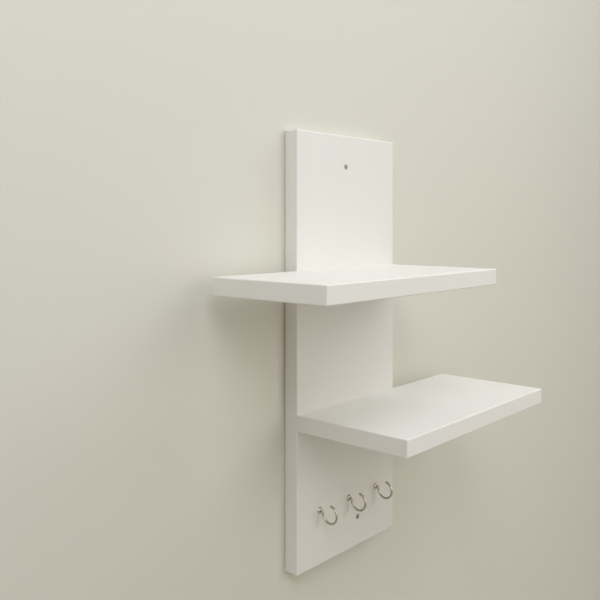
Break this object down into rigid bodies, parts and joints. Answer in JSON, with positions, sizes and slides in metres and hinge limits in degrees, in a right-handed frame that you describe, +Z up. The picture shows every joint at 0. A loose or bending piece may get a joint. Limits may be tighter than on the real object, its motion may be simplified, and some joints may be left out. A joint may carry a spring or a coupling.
{
  "type": "wall key holder",
  "caption": "White wall key holder: a tall backboard with staggered shelves on its front and a row of open cup hooks below.",
  "frame": {"origin": "on the wall plane, in the middle of the backboard's back face", "axes": "+X to the right as seen from the room, +Y into the wall, +Z up"},
  "size_m": [0.35, 0.157, 0.4],
  "materials": {
    "lacquered_board": "satin white lacquer on fibreboard",
    "nickel_plated_steel": "nickel plated",
    "zinc_plated_steel": "zinc plated"
  },
  "bodies": {
    "root": {"backboard": "lacquered_board", "upper_shelf": "lacquered_board", "lower_shelf": "lacquered_board", "hook_left": "nickel_plated_steel", "collar_left": "nickel_plated_steel", "hook_middle": "nickel_plated_steel", "collar_middle": "nickel_plated_steel", "hook_right": "nickel_plated_steel", "collar_right": "nickel_plated_steel", "wall_screw_upper": "zinc_plated_steel", "wall_screw_lower": "zinc_plated_steel", "upper_shelf_screw_left": "zinc_plated_steel", "upper_shelf_screw_right": "zinc_plated_steel", "lower_shelf_screw_left": "zinc_plated_steel", "lower_shelf_screw_right": "zinc_plated_steel"}
  },
  "joints": []
}
